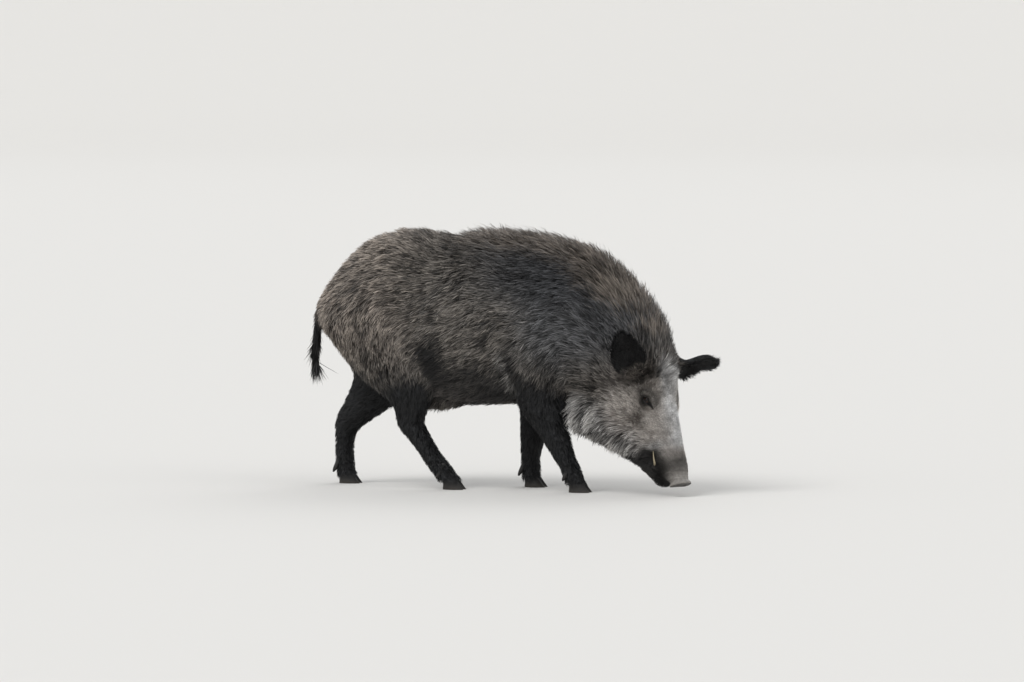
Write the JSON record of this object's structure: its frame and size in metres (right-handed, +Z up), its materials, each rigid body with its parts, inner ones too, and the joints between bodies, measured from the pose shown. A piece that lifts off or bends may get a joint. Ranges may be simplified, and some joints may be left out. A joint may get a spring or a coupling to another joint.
{
  "type": "wild boar",
  "caption": "Life-size still model of an adult wild boar in winter coat, grazing with its head low and turned to its right.",
  "frame": {"origin": "on the floor under the middle of the bounding box", "axes": "+X forward along the trunk, +Y to the animal's left, +Z up; the hoof soles are at Z = 0"},
  "size_m": [1.2896, 0.4668, 0.8042],
  "materials": {
    "body_coat": "coarse grizzled hair",
    "face_coat": "short grey hair",
    "dark_coat": "short dark hair",
    "snout_skin": "bare damp skin",
    "horn": "dull horn",
    "tusk": "smooth ivory",
    "eye": "wet gloss"
  },
  "bodies": {
    "root": {"barrel": "body_coat", "chest": "body_coat", "cranium": "face_coat", "left_ear": "dark_coat", "left_eye": "eye", "left_fore_cannon": "dark_coat", "left_fore_dewclaw_left": "horn", "left_fore_dewclaw_right": "horn", "left_fore_forearm": "dark_coat", "left_fore_hoof_left": "horn", "left_fore_hoof_right": "horn", "left_fore_pastern": "dark_coat", "left_hind_cannon": "dark_coat", "left_hind_dewclaw_left": "horn", "left_hind_dewclaw_right": "horn", "left_hind_gaskin": "dark_coat", "left_hind_hoof_left": "horn", "left_hind_hoof_right": "horn", "left_hind_pastern": "dark_coat", "left_tusk": "tusk", "lower_jaw": "face_coat", "neck": "body_coat", "nose_disc": "snout_skin", "right_ear": "dark_coat", "right_eye": "eye", "right_fore_cannon": "dark_coat", "right_fore_dewclaw_left": "horn", "right_fore_dewclaw_right": "horn", "right_fore_forearm": "dark_coat", "right_fore_hoof_left": "horn", "right_fore_hoof_right": "horn", "right_fore_pastern": "dark_coat", "right_hind_cannon": "dark_coat", "right_hind_dewclaw_left": "horn", "right_hind_dewclaw_right": "horn", "right_hind_gaskin": "dark_coat", "right_hind_hoof_left": "horn", "right_hind_hoof_right": "horn", "right_hind_pastern": "dark_coat", "right_tusk": "tusk", "rump": "body_coat", "snout": "face_coat", "tail": "dark_coat"}
  },
  "joints": []
}
